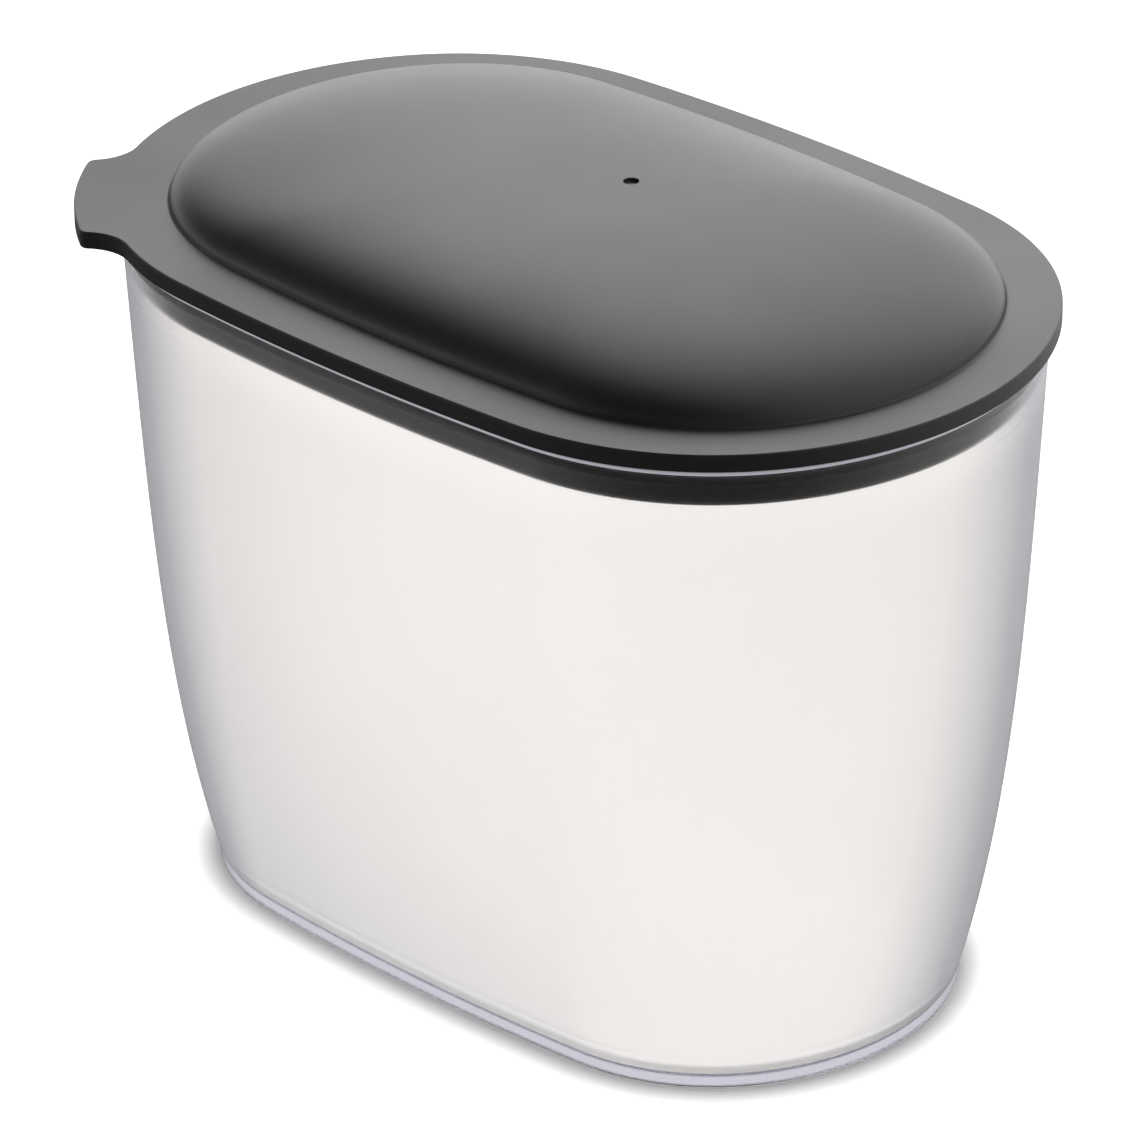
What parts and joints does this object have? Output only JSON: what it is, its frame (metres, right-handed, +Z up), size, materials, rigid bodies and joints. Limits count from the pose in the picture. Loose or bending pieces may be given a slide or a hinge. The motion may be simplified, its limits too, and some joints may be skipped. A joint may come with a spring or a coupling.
{
  "type": "rice bin",
  "caption": "Oval frosted plastic kitchen bin for rice, tapering to a narrow foot, with a dark domed press-on lid that has a peel tab at one corner.",
  "frame": {"origin": "on the surface the bin stands on, under the middle of the lid's oval", "axes": "+Z up; +X along the oval's length; the peel tab is on the -X side, towards -Y"},
  "size_m": [0.25, 0.164, 0.1972],
  "materials": {
    "frosted_clear": "fine frosted wall, polished rim and foot bands, translucent",
    "dark_matte": "fine satin grain, near black"
  },
  "bodies": {
    "container": {"container": "frosted_clear"},
    "lid": {"lid": "dark_matte"}
  },
  "joints": [
    {"name": "lid_lift", "type": "slide", "parent": "container", "child": "lid", "axis": [0, 0, 1], "range_m": [0, 0.06]}
  ]
}
